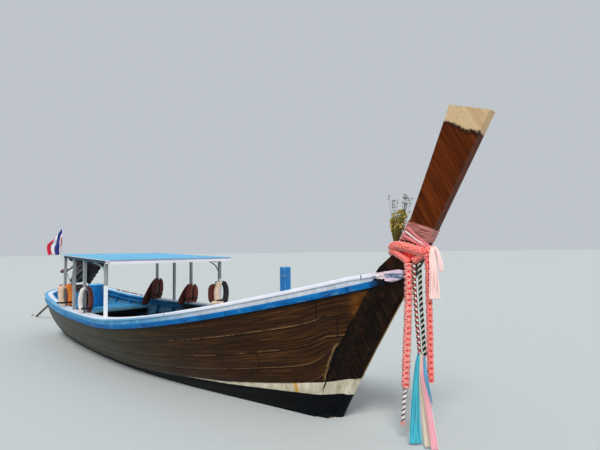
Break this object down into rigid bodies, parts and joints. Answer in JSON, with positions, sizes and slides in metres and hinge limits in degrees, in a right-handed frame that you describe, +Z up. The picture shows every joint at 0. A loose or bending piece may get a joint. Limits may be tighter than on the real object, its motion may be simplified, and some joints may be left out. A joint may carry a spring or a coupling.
{
  "type": "longtail boat",
  "caption": "Wooden longtail boat with a raked stem plank, posted canopy and a stern engine that swivels and tilts, turning a propeller at the end of a long tail tube",
  "frame": {"origin": "on the centreline amidships, at the height of the waterline", "axes": "+X to the bow, +Y to port, +Z up"},
  "size_m": [14.8429, 2.5194, 3.83],
  "materials": {
    "hull_wood": "dark varnished planks, worn at the seams",
    "bottom_paint": "dark bottom paint",
    "deck_wood": "bare worn boards",
    "white_paint": "worn white gloss on wood",
    "blue_paint": "worn blue gloss on wood",
    "pale_blue_paint": "pale blue gloss on wood",
    "stem_wood": "varnished, warm brown",
    "grey_post": "weathered grey paint",
    "iron": "oily dark iron",
    "steel": "dull",
    "rust": "rusty exhaust",
    "belt_black": "matt",
    "bronze": "worn bronze",
    "drum_plastic": "scuffed blue",
    "cream_cloth": "soft",
    "orange_cloth": "soft",
    "brown_red_cloth": "soft, faded",
    "coral_garland": "ruffled petals",
    "pale_pink_ribbon": "thin cloth",
    "turquoise_cloth": "thin cloth",
    "cord_white": "twisted",
    "straw": "dried stalks and flowers",
    "dark_cloth": "heavy cloth",
    "flag_red": "thin cloth"
  },
  "bodies": {
    "hull": {"bottom_planking_port": "bottom_paint", "side_planking_port": "hull_wood", "bottom_planking_starboard": "bottom_paint", "side_planking_starboard": "hull_wood", "gunwale_cap_port": "white_paint", "rub_rail_port": "blue_paint", "gunwale_cap_starboard": "white_paint", "rub_rail_starboard": "blue_paint", "keel": "bottom_paint", "stem_post": "stem_wood", "transom": "pale_blue_paint", "stern_post": "hull_wood", "stern_platform": "pale_blue_paint", "frames": "hull_wood", "floor_boards": "deck_wood", "aft_deck": "pale_blue_paint", "aft_deck_beam": "pale_blue_paint", "foredeck": "white_paint", "foredeck_bulkhead": "pale_blue_paint", "side_bench_port": "deck_wood", "side_bench_starboard": "deck_wood", "mooring_bitt": "blue_paint", "canopy_side_port": "grey_post", "canopy_side_starboard": "grey_post", "roof_beams": "white_paint", "roof_panel": "pale_blue_paint", "roof_fascia": "white_paint", "curtain": "dark_cloth", "flag_staff": "white_paint", "flag": "flag_red", "fuel_drum": "drum_plastic", "life_jacket_starboard_aft": "orange_cloth", "life_jacket_starboard_front": "cream_cloth", "life_jacket_port_aft": "brown_red_cloth", "life_jacket_port_middle": "brown_red_cloth", "life_jacket_port_front": "cream_cloth", "stem_wrap": "pale_pink_ribbon", "garland_loop": "coral_garland", "garland_aft": "coral_garland", "garland_front": "coral_garland", "stem_rope_aft": "cord_white", "stem_rope_front": "cord_white", "ribbon_turquoise": "turquoise_cloth", "ribbon_cream": "cream_cloth", "ribbon_pink": "pale_pink_ribbon", "ribbon_pale": "pale_pink_ribbon", "flower_bunch": "straw", "engine_pedestal": "hull_wood"},
    "yoke": {"engine_yoke": "iron"},
    "engine": {"engine_cradle": "iron", "engine_block": "iron", "cylinder_head": "steel", "air_intake": "iron", "exhaust": "rust", "belt_drive": "belt_black", "alternator": "steel", "tiller": "steel", "tail_tube": "pale_blue_paint"},
    "propeller": {"propeller_shaft": "bronze"}
  },
  "joints": [
    {"name": "engine_swivel", "type": "hinge", "parent": "hull", "child": "yoke", "pos_m": [-4.65, 0, 1.13], "axis": [0, 0, 1], "range_deg": [-55, 55]},
    {"name": "engine_tilt", "type": "hinge", "parent": "yoke", "child": "engine", "pos_m": [-4.65, 0, 1.36], "axis": [0, 1, 0], "range_deg": [-4, 24]},
    {"name": "propeller_spin", "type": "hinge", "parent": "engine", "child": "propeller", "pos_m": [-4.65, 0, 1.36], "axis": [0.9397, 0, 0.342], "continuous": true}
  ]
}
